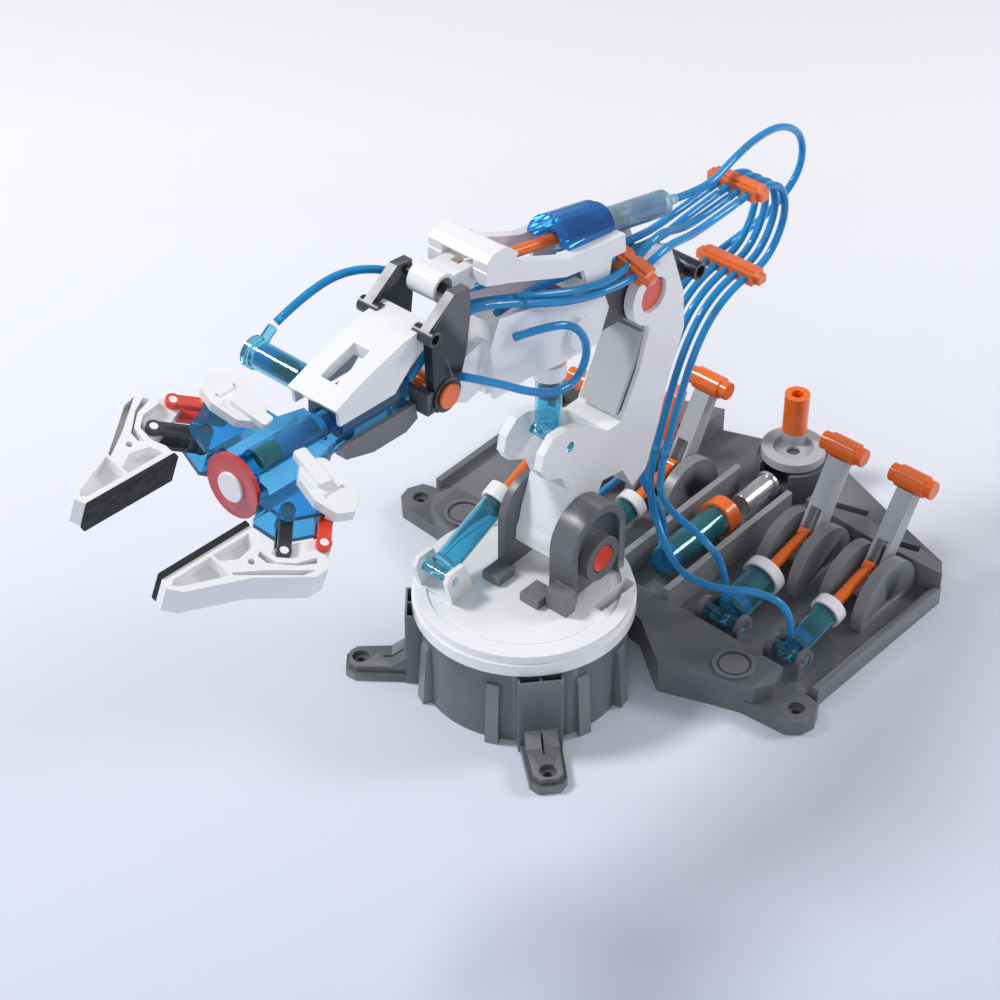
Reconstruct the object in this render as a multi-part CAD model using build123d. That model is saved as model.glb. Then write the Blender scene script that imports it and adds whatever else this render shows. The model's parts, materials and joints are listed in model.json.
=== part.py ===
from build123d import *
import math
import os

# Hydraulic arm kit: a jointed arm on a turntable, worked by levers on a console
# through water-filled hoses.  Origin on the turntable axis, on the table.
# +X points along the arm, +Z up, millimetres.

# ---------------------------------------------------------------- driving dimensions
FIT = 0.05                       # radial running fit
GAP = 0.4                        # clearance between moving bodies

DRUM_R = 56.0
DRUM_TOP = 49.0
DRUM_WALL = 3.0
FOOT_R = 88.45                   # distance of a drum foot's hole from the turntable axis
FOOT_ANGLE = 49.0
FOOT_T = 9.0
BUTTRESS_ANGLES = (24.5, 73.5, 104, -24.5, -73.5, -104)
HOLE_R = 2.4

DISC_R = 60.0
DISC_BOTTOM = 49.5
DISC_TOP = 61.6
DISC_DECK = 60.0                 # the recessed top of the disc
HUB_R = 20.0

SHOULDER = (-24.0, 82.0)         # x, z of the shoulder axle
ELBOW = (-79.0, 214.0)
WRIST = (80.0, 241.0)
ROLL_PITCH = 2.9                 # the wrist's roll axis climbs this much, degrees
HEAD_ROLL = -18.0                # roll of the gripper head as built, degrees

ARM_HALF = 15.0                  # half width of the upper arm
PANEL_IN = 15.6                  # forearm side panels, inner and outer face
PANEL_OUT = 18.4

SHOULDER_CYL_Y = -30.5
SHOULDER_CLEVIS = (34.0, 74.0)
SHOULDER_EYE = (-57.0, 112.0)
ELBOW_LUG = (-18.0, 150.0)
ELBOW_EYE = (-18.0, 224.0)
SLAVE_R = 7.0                    # arm cylinders, outside
BORE_R = 5.6
ROD_R = 3.0
EYE_BORE = (4.35, 4.6)           # shoulder and elbow rod eyes, loose on their pins
LINK_BORE = 5.4                  # the wrist link is loose on the bracket's pin

WRIST_CYL_TAIL = (-111.0, 247.5)
WRIST_CYL_PITCH = 13.4           # the wrist cylinder climbs towards the front, degrees
LINK_TOP = (68.0, 289.0)         # pin at the top of the wrist brackets

DECK_T = 6.0
CONSOLE_HALF = 140.0
CONSOLE_FRONT = -64.0
CONSOLE_REAR = -203.0
CONSOLE_PEAK = -246.0            # the rear edge's middle
TROUGH = (0.0, 33.0)             # inner faces of the two rails
LEVER_Y = (-76.0, -29.0, 66.0, 110.0)
LEVER_X = -165.0
LEVER_Z = 13.0
LEVER_TILT = (-18.0, 30.0, 30.0, 34.0)     # lean towards the rear, degrees
LEVER_LEN = 66.0
FAIRING_R = 26.0
PIN_UP = 16.0                    # rod pin above the lever axle
MASTER_R = (8.5, 7.0, 10.0, 7.5)
MASTER_TAIL_X = -92.0
MASTER_TAIL_Z = 15.0
CRANK = (-222.0, 16.5)
TRIM_Y = -52.0
TRIM_FOOT = (-183.0, 12.0)

HOSE_R = 2.1
CLIP_PITCH = 6.5                 # between neighbouring hoses in a clip
BARB_TOP = 28.0
BUNDLE_Y = (-2, -1, 0, 1, 2)     # hoses of the riser, in clip pitches from the mid-plane
LOWER_CLIP = (-170.0, 178.3)
UPPER_CLIP = (-167.0, 232.1)
FOREARM_CLIP = (-60.0, 14.0, 243.0)
FOREARM_CLIP_ROLL = -18.0

# ---------------------------------------------------------------- shape helpers


def plate(outline, y0, y1):
    """A flat piece with an outline in x, z, from y0 to y1."""
    face = make_face(Polyline(*outline, close=True))
    return Pos(0, y1, 0) * Rot(90, 0, 0) * extrude(face, amount=y1 - y0)


def slab(outline, z0, z1):
    """A flat piece with an outline in x, y, from z0 to z1."""
    return Pos(0, 0, z0) * extrude(make_face(Polyline(*outline, close=True)), amount=z1 - z0)


def box(x0, x1, y0, y1, z0, z1):
    return Pos((x0 + x1) / 2, (y0 + y1) / 2, (z0 + z1) / 2) * Box(x1 - x0, y1 - y0, z1 - z0)


def rod_y(x, z, r, y0, y1):
    return Pos(x, (y0 + y1) / 2, z) * Rot(90, 0, 0) * Cylinder(r, y1 - y0)


def rod_x(y, z, r, x0, x1):
    return Pos((x0 + x1) / 2, y, z) * Rot(0, 90, 0) * Cylinder(r, x1 - x0)


def post(x, y, r, z0, z1):
    return Pos(x, y, (z0 + z1) / 2) * Cylinder(r, z1 - z0)


def along(start, end, r, a, b):
    """A round bar on the line start to end, between distances a and b from start."""
    way = Vector(*end) - Vector(*start)
    plane = Plane(origin=Vector(*start) + way.normalized() * a, z_dir=way)
    bar = Cylinder(r, b - a, align=(Align.CENTER, Align.CENTER, Align.MIN))
    return plane.location * bar


def distance(a, b):
    return (Vector(*a) - Vector(*b)).length


def in_plane(point, y):
    return (point[0], y, point[1])


def polar(r, degrees):
    return (r * math.cos(math.radians(degrees)), r * math.sin(math.radians(degrees)))


def mirror_y(shape):
    return mirror(shape, about=Plane.XZ)


def group(*shapes):
    """Separate solids kept in one file."""
    solids = []
    for shape in shapes:
        solids += list(shape.solids())
    return Compound(children=solids) if len(solids) > 1 else solids[0]


def save(shape, name):
    export_step(shape, "parts/" + name + ".step")


def tilted(shape, x, z, degrees):
    """Turn a shape in the x, z plane about a point; positive leans +Z towards -X."""
    return Pos(x, 0, z) * Rot(0, -degrees, 0) * Pos(-x, 0, -z) * shape


# ---------------------------------------------------------------- base


def drum_foot():
    """A stepped foot with its screw hole, and the hollow tower above it, pointing along +X."""
    lower = slab([(DRUM_R - 8, -12), (DRUM_R + 8, -11), (FOOT_R + 3, -10), (FOOT_R + 8, -6), (FOOT_R + 8, 6),
                  (FOOT_R + 3, 10), (DRUM_R + 8, 11), (DRUM_R - 8, 12)], 0, 5)
    upper = slab([(DRUM_R - 8, -9.5), (FOOT_R + 2, -8), (FOOT_R + 6, -4.5), (FOOT_R + 6, 4.5), (FOOT_R + 2, 8),
                  (DRUM_R - 8, 9.5)], 4, FOOT_T)
    neck = plate([(DRUM_R - 4, 8), (DRUM_R + 17, 8), (DRUM_R + 8, 15), (DRUM_R - 4, 17)], -9, 9)
    foot = lower + upper + neck
    tower = box(DRUM_R - 6, DRUM_R + 7.5, -12, 12, 0, DRUM_TOP - 1)
    for side in (-1, 1):
        near, far = sorted((side * 0.8, side * 10.8))
        tower -= box(DRUM_R + 1, DRUM_R + 6.3, near, far, DRUM_TOP - 11, DRUM_TOP)
    foot -= post(FOOT_R, 0, HOLE_R, -1, FOOT_T + 1) + post(FOOT_R, 0, 4.6, FOOT_T - 3, FOOT_T + 1)
    return foot - box(DRUM_R + 9, DRUM_R + 20, -0.6, 0.6, FOOT_T - 1.5, 20) + tower


def base_drum():
    shell = post(0, 0, DRUM_R, 0, DRUM_TOP)
    rib = plate([(DRUM_R - 3, 0), (DRUM_R + 5, 0), (DRUM_R + 2.4, 36), (DRUM_R + 1.2, 39), (DRUM_R - 3, 39)],
                -3.6, 3.6)
    for angle in BUTTRESS_ANGLES:
        shell += Rot(0, 0, angle) * rib
    for side in (-1, 1):
        shell += Rot(0, 0, side * FOOT_ANGLE) * drum_foot()
    shell -= post(0, 0, DRUM_R - DRUM_WALL, 3, DRUM_TOP - DRUM_WALL)
    collar = post(0, 0, HUB_R + 6, 3, DRUM_TOP - 1)
    shell += collar
    shell -= post(0, 0, HUB_R + FIT, 6, DRUM_TOP + 1)
    return shell


def turntable_disc():
    disc = post(0, 0, DISC_R, DISC_BOTTOM, DISC_BOTTOM + 7) + post(0, 0, DISC_R - 1.5, DISC_BOTTOM, DISC_TOP)
    disc -= post(0, 0, DISC_R - 8, DISC_DECK, DISC_TOP + 1)
    disc += post(0, 0, DISC_R - 13, DISC_DECK - 1, DISC_DECK + 0.4)
    disc += post(0, 0, HUB_R, DRUM_TOP - 34, DISC_BOTTOM + 1)
    disc -= post(0, 0, HUB_R - 4, DRUM_TOP - 35, DISC_BOTTOM - 4)
    disc -= box(-39, -11, 38, 44.5, DISC_BOTTOM - 1, DISC_TOP + 1)
    return disc


def arch(y0, y1, grow=0.0):
    """A shoulder bracket's outline: an upright with a round top."""
    x, z = SHOULDER
    r = 22.0 + grow
    return box(x - r, x + r, y0, y1, DISC_DECK + 0.4, z + 10) + rod_y(x, z + 10, r, y0, y1)


def shoulder_bracket_right():
    x, z = SHOULDER
    bracket = arch(ARM_HALF + GAP, 31) - arch(26.5, 40, -5.0)
    bracket += box(-2, 6, 20, 34, DISC_DECK + 0.4, DISC_DECK + 14)
    bracket += box(-3, 11, 6.2, 19, DISC_DECK + 0.4, DISC_DECK + 6)
    bracket += rod_y(x, z, 13, 20, 34) - rod_y(x, z, 8, 31, 40)
    return bracket - rod_y(x, z, 5 + FIT, 0, 50)


def shoulder_bracket_left():
    x, z = SHOULDER
    bracket = arch(-20.5, -ARM_HALF - GAP)
    bracket += box(-3, 10.5, -20.5, -8.8, DISC_DECK + 0.4, DISC_DECK + 6)
    return bracket - rod_y(x, z, 5 + FIT, -50, 0)


def cylinder_clevis():
    x, z = SHOULDER_CLEVIS
    jaw = [(x - 15, DISC_DECK + 0.4), (x + 3, DISC_DECK + 0.4), (x + 7, z + 2), (x + 4, z + 7), (x - 7, z + 7)]
    y = SHOULDER_CYL_Y
    clevis = plate(jaw, y - 12.5, y - 9.5) + plate(jaw, y + 9.5, y + 12.5)
    clevis += box(x - 15, x + 3, y - 12.5, y + 12.5, DISC_DECK + 0.4, DISC_DECK + 2)
    return clevis - rod_y(x, z, 3 + FIT, y - 20, y + 20)


def shoulder_axle():
    x, z = SHOULDER
    return rod_y(x, z, 5, -20.5, 31.6) + rod_y(x, z, 7.5, 31.1, 34)


# ---------------------------------------------------------------- arm cylinders


def cylinder_barrel(tail, mouth, y, length, pin_half):
    """A slave cylinder: a closed tube with a trunnion at its tail."""
    start, end = in_plane(tail, y), in_plane(mouth, y)
    barrel = along(start, end, SLAVE_R, 4, length) - along(start, end, BORE_R, 8, length + 1)
    barrel += along(start, end, 4.5, 0, 5)
    barrel += rod_y(tail[0], tail[1], 3, y - pin_half, y + pin_half)
    return barrel


def collar_ring(tail, mouth, y, length):
    start, end = in_plane(tail, y), in_plane(mouth, y)
    return along(start, end, SLAVE_R + 2, length - 7, length + 2) - along(start, end, SLAVE_R + FIT, 0, length + FIT) \
        - along(start, end, ROD_R + FIT, length - 1, length + 4)


def cylinder_rod(tail, eye, y, piston, eye_bore):
    start, end = in_plane(tail, y), in_plane(eye, y)
    reach = distance(start, end)
    rod = along(start, end, ROD_R, piston, reach) + along(start, end, BORE_R - FIT, piston, piston + 5)
    rod += rod_y(eye[0], eye[1], eye_bore + 2.6, y - 3.3, y + 3.3)
    return rod - rod_y(eye[0], eye[1], eye_bore, y - 5, y + 5)


# ---------------------------------------------------------------- upper arm


def upper_arm_outline():
    return [(-10, 78), (-15, 98), (-22, 117), (-16, 131), (1, 140), (5, 147), (3, 156), (-5, 163), (-13, 163),
            (-30, 157), (-49, 143), (-60, 143), (-73, 167), (-80, 189), (-78, 206), (-68, 228), (-72, 238),
            (-80, 242), (-95, 235), (-108, 200), (-110, 176), (-98, 148), (-92, 124), (-82, 98), (-71, 93),
            (-62, 109), (-45, 112), (-37, 94)]


def upper_arm_shell():
    x, z = SHOULDER
    body = plate(upper_arm_outline(), -ARM_HALF, ARM_HALF) + rod_y(x, z, 13.5, -ARM_HALF, ARM_HALF)
    ex, ez = ELBOW
    body += rod_y(ex, ez, 17, -ARM_HALF - 3, ARM_HALF + 3)
    inside = [(-62, 146), (-77, 172), (-84, 190), (-84, 200), (-104, 196), (-106, 178), (-95, 150), (-88, 124)]
    body -= plate(inside, -ARM_HALF + 2.8, ARM_HALF - 2.8)
    # the elbow end is a fork for the forearm's chassis
    body -= box(-130, -40, -12, 12, 190, 260)
    # the boss end is a fork for the elbow cylinder
    body -= box(-46, 20, -10, 10, 128, 170)
    # the hollow back of the lower leg
    body -= box(-47, 20, -10, 10, 118, 140)
    body -= rod_y(x, z, 5, -30, 30)
    body -= rod_y(ex, ez, 6 + FIT, -30, 30)
    body -= rod_y(ex, ez, 10, ARM_HALF - 1, ARM_HALF + 4)
    body -= rod_y(ELBOW_LUG[0], ELBOW_LUG[1], 3 + FIT, -30, 30)
    body -= upper_arm_window()
    return body


def upper_arm_window():
    return plate([(-62, 150), (-72, 168), (-79, 186), (-90, 186), (-60, 140)], -ARM_HALF + 2.8, ARM_HALF - 2.8)


def upper_arm_front():
    cover = plate([(-61, 147), (-73.5, 170), (-80.5, 189), (-77, 189), (-69.5, 169), (-57.5, 147)],
                  -ARM_HALF + 3, ARM_HALF - 3)
    return cover


def shoulder_eye_boss():
    x, z = SHOULDER_EYE
    return rod_y(x, z, 3, SHOULDER_CYL_Y - 4, -10)


def elbow_axle():
    x, z = ELBOW
    return rod_y(x, z, 6, -ARM_HALF - 2, ARM_HALF - 0.6) + rod_y(x, z, 9.2, ARM_HALF - 0.6, ARM_HALF + 1)


# ---------------------------------------------------------------- forearm


def forearm_chassis():
    """Dark inner frame through the elbow, with the tube at its tail."""
    chassis = plate([(-120, 203), (-106, 221), (-60, 233), (-28, 236), (-28, 213), (-45, 206), (-79, 203)], -11, 11)
    x, z = ELBOW
    chassis += rod_y(x, z, 11, -11, 11)
    chassis -= plate([(-108, 208), (-102, 216), (-95, 216), (-95, 208)], -20, 20)
    chassis += rod_y(-119, 207.5, 5, -13, 17)
    chassis -= rod_y(-119, 207.5, 3.4, -20, 25)
    return chassis - rod_y(x, z, 6, -30, 30)


def forearm_panel(side):
    outline = [(47, 248), (41, 262), (20, 257), (-12, 246), (-37, 239), (-42, 226), (-34, 208), (-5, 211),
               (20, 216), (44, 217)]
    y0, y1 = (PANEL_IN, PANEL_OUT) if side > 0 else (-PANEL_OUT, -PANEL_IN)
    panel = plate(outline, y0, y1)
    x, z = ELBOW_EYE
    panel += rod_y(x, z, 9, min(y0, y0 + side * 5), max(y1, y1 + side * 3))
    return panel


def forearm_shell():
    """The two white side panels with the web and end block that join them."""
    shell = forearm_panel(1) + forearm_panel(-1)
    shell += plate([(-40, 226), (-28, 236.2), (-28, 240), (-38, 238)], -PANEL_IN, PANEL_IN)
    shell += plate([(30, 218), (47, 220), (52, 238), (40, 256), (33, 250)], -PANEL_IN, PANEL_IN)
    shell -= plate([(34, 222), (44, 224), (48, 238), (38, 250)], -12, 12)
    x, z = ELBOW_EYE
    shell += rod_y(x, z, 3, -PANEL_OUT, -8) + rod_y(x, z, 3, 8, PANEL_OUT)
    arm = plate([(44, 226), (60, 222), (WRIST[0], WRIST[1] - 7), (WRIST[0] + 5, WRIST[1] + 3), (46, 252)], 9, 14.6)
    arm += mirror_y(arm)
    shell += arm
    shell += plate([(38, 226), (47, 226), (47, 250), (38, 250)], -16, 16) - box(30, 60, -9, 9, 200, 270)
    return shell - rod_y(WRIST[0], WRIST[1], 5 + FIT, -30, 30)


def forearm_fork():
    """White top fork that carries the wrist cylinder."""
    outline = [(-54, 253), (-34, 256), (-8, 261), (34, 279), (46, 284), (50, 292), (40, 296), (24, 286),
               (-10, 271), (-34, 267), (-53, 264)]
    prong = plate(outline, PANEL_IN - 3, PANEL_OUT)
    fork = prong + mirror_y(prong)
    fork += plate([(-54, 253), (-44, 255), (-44, 258), (-53, 257)], -PANEL_OUT, PANEL_OUT)
    nose = plate([(34, 279), (50, 285), (50, 292), (40, 296), (30, 289)], 10, PANEL_OUT)
    fork += nose + mirror_y(nose)
    bridge = plate([(30, 289), (49.5, 291), (49.5, 297), (46, 300), (37, 300.5), (27, 293)], -PANEL_OUT, PANEL_OUT)
    fork += bridge - box(20, 60, -9.6, 9.6, 270, 296.2)
    stem = plate([(-40, 236), (-28, 236), (-20, 262), (-44, 258)], PANEL_IN, PANEL_OUT)
    return fork + stem + mirror_y(stem)


def wrist_cylinder_axis():
    x, z = WRIST_CYL_TAIL
    dx, dz = polar(200, WRIST_CYL_PITCH)
    return (x, 0, z), (x + dx, 0, z + dz)


def cylinder_cap():
    """Clear faceted saddle over the wrist cylinder's mouth."""
    a, b = wrist_cylinder_axis()
    cap = along(a, b, 13.5, 62, 98) - along(a, b, 20, 60, 64.5) + along(a, b, 12, 60, 66)
    trim = along(a, b, 60, 0, 200)
    lower = tilted(box(-120, 120, -40, 40, 0, 263), -54, 263, WRIST_CYL_PITCH - 3)
    cap = (cap & trim) - lower
    return cap - along(a, b, SLAVE_R, 0, 150)


def wrist_barrel():
    a, b = wrist_cylinder_axis()
    barrel = along(a, b, SLAVE_R, 5, 92) - along(a, b, BORE_R, 9, 95)
    return barrel + along(a, b, 2.6, -6, 6)


def wrist_axle():
    x, z = WRIST
    return rod_y(x, z, 5, -20.6, 21.4) + rod_y(x, z, 6.5, 21.3, 23)


def wrist_rod():
    a, b = wrist_cylinder_axis()
    rod = along(a, b, ROD_R, 40, 158) + along(a, b, BORE_R - FIT, 40, 46)
    x, z = link_root()
    rod = rod - rod_y(x, z, 7.4, -10, 10)
    return rod + rod_y(x, z, 3, -9, 9) + (along(a, b, ROD_R, 150, 160) & rod_y(x, z, 7.4, -2, 2))


def link_root():
    dx, dz = polar(160, WRIST_CYL_PITCH)
    return WRIST_CYL_TAIL[0] + dx, WRIST_CYL_TAIL[1] + dz


# ---------------------------------------------------------------- wrist


def wrist_link():
    x, z = link_root()
    tx, tz = LINK_TOP
    bar = plate([(x - 4, z + 5), (x + 2, z + 7), (tx + 4, tz + 5), (tx + 6, tz - 4), (x + 3, z - 6)], -8.5, 8.5)
    bar -= box(x - 20, x + 7, -2.6, 2.6, z - 20, z + 20)
    bar -= rod_y(x, z, 3 + FIT, -20, 20)
    bar += rod_y(tx, tz, LINK_BORE + 2, -8.5, 8.5)
    return bar - rod_y(tx, tz, LINK_BORE, -20, 20)


def wrist_bracket():
    """Dark side plates with tube pins; they turn about the wrist axle."""
    x, z = WRIST
    tx, tz = LINK_TOP
    side = plate([(x - 6, z - 6), (x + 7, z - 7), (x + 9, z + 12), (tx + 22, tz - 14), (tx + 24, tz - 7),
                  (tx + 6, tz + 5), (tx - 4, tz + 4), (tx - 5, tz - 8), (x - 14, z + 18)], 15.2, 20.4)
    side += rod_y(x, z, 9, 15.2, 21)
    side += rod_y(tx + 22, tz - 10.5, 4, 11, 23) - rod_y(tx + 22, tz - 10.5, 2.4, 10, 24)
    bracket = side + mirror_y(side)
    bracket += rod_y(tx, tz, 2.4, -16, 16)
    bracket += box(x + 9, x + 13, -15.4, 15.4, z - 5, z + 5) + rod_y(x, z, 9, 15, 21)
    bracket += plate([(x + 5, z - 6), (x + 13, z - 6), (x + 13, z + 6), (x + 9, z + 6)], -20, 20) \
        - rod_y(x, z, 12.5, -15, 15)
    return bracket - rod_y(x, z, 5 + FIT, -30, 30)


def wrist_place(shape):
    """From the wrist's frame, x along the roll axis, to the whole object's frame."""
    return Pos(WRIST[0], 0, WRIST[1]) * Rot(0, -ROLL_PITCH, 0) * shape


def wrist_lower_shell():
    shell = plate([(14, -9), (22, -13), (44, -13), (62, -8), (65, 0), (16, 0)], -15, 15)
    shell -= plate([(17, -7), (24, -10.5), (44, -10.5), (62, -6), (66, 1), (16, 1)], -12.5, 12.5)
    shell -= rod_x(0, 0, 11.3, 50, 80)
    return wrist_place(shell)


def wrist_core():
    core = box(16, 60, -11, 11, -5, 12) + rod_x(0, 0, 11, 55, 65)
    core -= rod_x(0, 0, 6 + FIT, 50, 80)
    return wrist_place(core)


def wrist_cover():
    top = plate([(8, 36), (6, 40), (24, 38), (50, 30), (69, 22), (66, 18), (48, 24), (26, 31)], -15, 15)
    top += plate([(8, 36), (24, 38), (50, 30), (67, 20), (66, 12.4), (30, 12.4), (18, 24)], -15, -13)
    top += plate([(8, 36), (24, 38), (50, 30), (67, 20), (66, 12.4), (30, 12.4), (18, 24)], 13, 15)
    top -= box(36, 58, -5, 5, 10, 50)
    return wrist_place(top)


def roll_cylinder():
    u, w = 58, 20
    barrel = rod_y(u, w, SLAVE_R, -45, -15.5) - rod_y(u, w, BORE_R, -43, -15)
    cap = rod_y(u, w, SLAVE_R + 1, -49, -45)
    stub = along((u, -47, w), (u - 15, -49, w + 8), 2.6, 6, 15)
    return wrist_place(barrel + cap + stub)


# ---------------------------------------------------------------- gripper head

LINK_ROOT_U = (94.0, 112.0)      # along the roll axis: rear and front link pivots
LINK_ROOT_V = (34.0, 27.0)       # sideways: rear and front link pivots
LINK_STEP = (17.0, 15.5)         # from a link's root to its jaw pin
LINK_PIN_R = 2.0
JAW_HALF = 7.5                   # half height of the jaws
LINK_R = 3.6
LINK_H = 12.0
TONGUE = 2.8                     # half height of a jaw's tongue
PAD_FACE = 21.6                  # a pad's face from the roll axis


def head_place(shape):
    return Pos(WRIST[0], 0, WRIST[1]) * Rot(0, -ROLL_PITCH, 0) * Rot(HEAD_ROLL, 0, 0) * shape


def head_body():
    body = slab([(66, -11), (80, -14), (82, -22), (90, -38), (98, -40), (118, -32), (121, -18), (112, -8), (112, 8),
                 (121, 18), (118, 32), (98, 40), (90, 38), (82, 22), (80, 14), (66, 11)], -9, 9)
    for side in (-1, 1):
        body -= box(84, 125, side * 31 - 14, side * 31 + 14, -6.4, 6.4)
        for u, v in zip(LINK_ROOT_U, LINK_ROOT_V):
            body -= post(u, side * v, LINK_PIN_R + FIT, -12, 12)
    body += rod_x(0, 0, 6, 52, 70)
    body -= rod_x(0, 8, SLAVE_R, 60, 130)
    body -= rod_x(0, 0, 17, 113.5, 130)
    return head_place(body - rod_x(0, 0, 4, 50, 66))


def grip_cylinder():
    tube = rod_x(0, 8, SLAVE_R, 68, 108) - rod_x(0, 8, BORE_R, 71, 110)
    return head_place(tube)


def suction_pad():
    cup = Pos(118, 0, 0) * Rot(0, 90, 0) * (Cylinder(16, 2.4) + Pos(0, 0, -3) * Cylinder(7.5, 3.8))
    stem = rod_x(0, -4, 4, 112, 114)
    button = rod_x(0, 0, 7.4, 119.2, 121)
    return head_place(cup + stem), head_place(button)


def head_covers():
    """White clips over the link roots, each with a tab on top."""
    top = slab([(83, 18), (93, 13), (101, 20), (104, 34), (101, 45), (93, 49), (84, 42), (81, 30)], 9, 14)
    top = fillet(top.edges().filter_by(Axis.Z), 3.0)
    skirt = slab([(84, 38), (92, 48), (100, 44), (102, 40), (98, 38), (92, 42), (86, 36)], 6.4, 10)
    tab = slab([(88, 10), (95, 9), (98, 30), (91, 31)], 13.5, 16.8)
    tab = fillet(tab.edges().filter_by(Axis.Z), 1.5)
    slot = box(87, 99, 34, 35.2, 12.8, 20) + box(87, 88.2, 34, 37, 12.8, 20) + box(97.8, 99, 34, 37, 12.8, 20)
    cover = top + skirt + tab - slot
    return head_place(cover), head_place(mirror_y(cover))


def jaw_link(index, side):
    """One bar of a jaw's parallel linkage: a fork that holds the jaw's tongue."""
    u, v = LINK_ROOT_U[index], side * LINK_ROOT_V[index]
    du, dv = LINK_STEP[0], side * LINK_STEP[1]
    turn = math.degrees(math.atan2(dv, du))
    span = math.hypot(du, dv)
    bar = Pos(u, v, 0) * Cylinder(LINK_R, LINK_H) + Pos(u + du, v + dv, 0) * Cylinder(LINK_R, LINK_H)
    bar += Pos(u + du / 2, v + dv / 2, 0) * Rot(0, 0, turn) * Box(span, 1.7 * LINK_R, LINK_H)
    bar -= Pos(u, v, 0) * Rot(0, 0, turn) * Pos(20, 0, 0) * Box(27, 20, 2 * TONGUE + 0.6)
    bar -= post(u + du, v + dv, LINK_PIN_R + FIT, -9, 9)
    return head_place(bar + post(u, v, LINK_PIN_R, -8.6, 8.6))


JAW_POCKETS = (
    [(137, 27.5), (158, 27.5), (158, 31.5), (150, 35.5), (140, 33.5)],
    [(159.5, 27.5), (181, 27.5), (184, 29.5), (181, 32), (159.5, 40)],
    [(139.5, 37.5), (142, 39), (141.5, 44), (131, 53), (123, 57), (121, 54.5), (131, 51.5), (138, 46)],
    [(144, 47), (150, 43.5), (158, 39), (158, 40.5), (133, 58), (126, 59.5)],
)


def jaw(side):
    """A ribbed finger with its rubber pad, and the tongue between the links."""
    body = slab([(119, 50.5), (117, 57), (121, 62), (129, 62), (152, 46.5), (182, 35), (187, 29.5),
                 (185, PAD_FACE + 3), (133.4, PAD_FACE + 3), (133.4, 30), (136.5, 36), (136, 44), (130, 49)],
                -JAW_HALF, JAW_HALF)
    for pocket in JAW_POCKETS:
        body -= slab(pocket, 1.2, 10) + slab(pocket, -10, -1.2)
    body -= post(146.5, 39.6, 1.6, -10, 10)
    tongue = slab([(106.5, 50), (110, 53.5), (119, 57), (128, 50), (137, 42), (133, 38.8), (128, 38.2), (109, 45.2)],
                  -TONGUE, TONGUE)
    body += tongue
    for u, v in zip(LINK_ROOT_U, LINK_ROOT_V):
        body += post(u + LINK_STEP[0], v + LINK_STEP[1], LINK_PIN_R, -LINK_H / 2, LINK_H / 2)
    pad = box(133.4, 185, PAD_FACE, PAD_FACE + 3, -8.5, 8.5)
    return [head_place(s if side > 0 else mirror_y(s)) for s in (body, pad)]


# ---------------------------------------------------------------- console


def console_outline(grow=0.0):
    half = CONSOLE_HALF + grow
    right = [(CONSOLE_FRONT, 131), (-81, 131), (-81, half - 2), (CONSOLE_REAR + 8, half), (CONSOLE_REAR - grow, half - 5),
             (-221, 83), (-236, 44), (CONSOLE_PEAK, 18)]
    return right + [(x, -y) for x, y in reversed(right)]


def console_deck():
    """Floor plate with its rim, the raised rear panel and the bosses for the cylinders' trunnions."""
    deck = slab(console_outline(), 0, DECK_T)
    rim = slab([(-81, 134), (-81, 138), (-195, 140), (-195, 136)], DECK_T - 1, 12)
    panel = slab([(-194, 140), (-203, 134), (-221, 83), (-236, 44), (-198, 44), (-194, 90)], DECK_T - 1, 22)
    panel -= Pos(-207, 66, 22) * Rot(0, 0, 16) * Box(5, 26, 12)
    panel -= Pos(-200, 106, 22) * Rot(0, 0, 16) * Box(5, 26, 12)
    deck += rim + mirror_y(rim) + panel + mirror_y(panel)
    for y, r in zip(LEVER_Y, MASTER_R):
        for side in (-1, 1):
            near, far = sorted((y + side * (r + 1.2), y + side * (r + 4.4)))
            boss = rod_y(MASTER_TAIL_X, MASTER_TAIL_Z, 7, near, far)
            boss += box(MASTER_TAIL_X - 7, MASTER_TAIL_X + 7, near, far, DECK_T - 1, MASTER_TAIL_Z)
            deck += boss - rod_y(MASTER_TAIL_X, MASTER_TAIL_Z, 4, near - 1, far + 1)
    return deck


def console_rails():
    y0, y1 = TROUGH
    rails = []
    for inner, outer in ((y0, y0 - 4), (y1, y1 + 4)):
        low, high = min(inner, outer), max(inner, outer)
        rails.append(box(-194, -79, low, high, DECK_T, 26))
    return group(*rails)


def console_front_bar():
    """Front bar behind the drum, with a pad and a foot on each side."""
    bar = slab([(-59, 0), (-58.8, 20), (-56, 36), (-44, 52), (-34, 66), (-44, 92), (-52, 116), (-62, 122),
                (-76, 118), (-78, 60), (-78, 0)], 0, 20)
    bar += slab([(-50, 108), (-52, 138), (-58, 145), (-66, 147), (-75, 143), (-77, 136), (-76, 108)], 0, 9)
    bar += post(-60, 97, 12, 19, 21.5) - post(-60, 97, 9.5, 20, 23)
    bar += post(-60, 97, 8, 19, 21)
    bar -= post(-64.9, 135.4, HOLE_R, -1, 30) + post(-64.9, 135.4, 4.6, 6, 30)
    bar -= box(-100, CONSOLE_FRONT + 0.05, -1, 131.3, -1, DECK_T)
    bar -= box(-100, CONSOLE_FRONT + 0.05, 131, 141.0, -1, 1.5)
    return bar + mirror_y(bar)


def fairing_pair(index):
    """Two half discs that guard one lever, joined at their foot, and its axle."""
    y = LEVER_Y[index]
    pair = []
    for near, far in ((8, 15), (-15, -8)):
        disc = rod_y(LEVER_X, DECK_T + 5, FAIRING_R, y + near, y + far) & box(-260, -60, -200, 200, DECK_T, 80)
        pair.append(disc - rod_y(LEVER_X, LEVER_Z, 2.5, y - 40, y + 40))
    axle = rod_y(LEVER_X, LEVER_Z, 2.5, y - 15, y + 15)
    return pair + [axle]


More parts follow.
